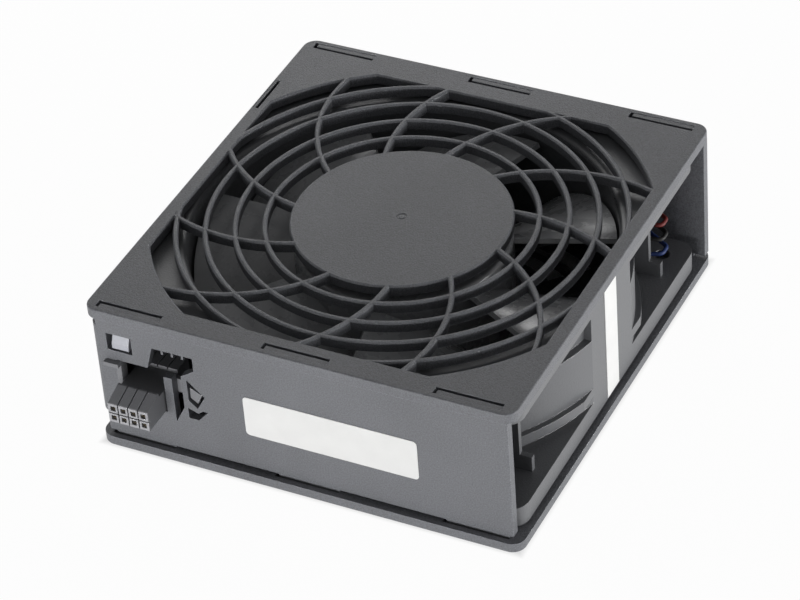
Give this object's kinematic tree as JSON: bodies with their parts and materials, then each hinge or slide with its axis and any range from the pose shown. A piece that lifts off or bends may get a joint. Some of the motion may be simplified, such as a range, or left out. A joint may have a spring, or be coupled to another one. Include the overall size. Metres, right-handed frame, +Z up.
{
  "type": "server fan cage",
  "caption": "moulded server fan cage with spiral finger guards, an open side and a blind-mate power connector around a ducted axial fan that turns",
  "frame": {"origin": "middle of the base, on the surface that the cage stands on", "axes": "+Z up through the upper guard, -Y out of the front wall that carries the connector, +X towards the open side"},
  "size_m": [0.123, 0.1395, 0.0462],
  "materials": {
    "cage_plastic": "fine spark texture",
    "fan_plastic": "semi-gloss",
    "impeller_plastic": "semi-gloss",
    "connector_plastic": "smooth matt",
    "contact_metal": "plated",
    "lens_plastic": "translucent, polished",
    "holder_plastic": "matt",
    "label_paper": "smooth",
    "isolator_rubber": "matt",
    "rotor_steel": "drawn",
    "bearing_steel": "ground",
    "magnet_ferrite": "matt",
    "tube_brass": "turned",
    "core_steel": "laminated",
    "insulator_plastic": "matt",
    "winding_copper": "enamelled",
    "board_laminate": "lacquered",
    "wire_red": "satin",
    "wire_black": "satin",
    "wire_blue": "satin",
    "lamp_wire": "satin"
  },
  "bodies": {
    "cage": {"top_guard": "cage_plastic", "bottom_guard": "cage_plastic", "wall_shell": "cage_plastic", "connector_housing": "connector_plastic", "connector_contacts": "contact_metal", "lamp_lens": "lens_plastic", "lamp_holder": "holder_plastic", "lamp_wires": "lamp_wire", "front_label": "label_paper", "side_label": "label_paper", "lower_isolators": "isolator_rubber", "upper_isolators": "isolator_rubber", "fan_frame": "fan_plastic", "bearing_tube": "tube_brass", "upper_bearing": "bearing_steel", "lower_bearing": "bearing_steel", "wave_washer": "bearing_steel", "stator_core": "core_steel", "stator_insulator": "insulator_plastic", "stator_windings": "winding_copper", "motor_board": "board_laminate", "wire_red": "wire_red", "wire_black": "wire_black", "wire_blue": "wire_blue"},
    "rotor": {"impeller": "impeller_plastic", "rotor_cup": "rotor_steel", "rotor_magnet": "magnet_ferrite", "rotor_shaft": "bearing_steel", "shaft_clip": "rotor_steel"}
  },
  "joints": [
    {"name": "rotor_spin", "type": "hinge", "parent": "cage", "child": "rotor", "pos_m": [0, -0.0012, 0.0231], "axis": [0, 0, 1], "continuous": true}
  ]
}
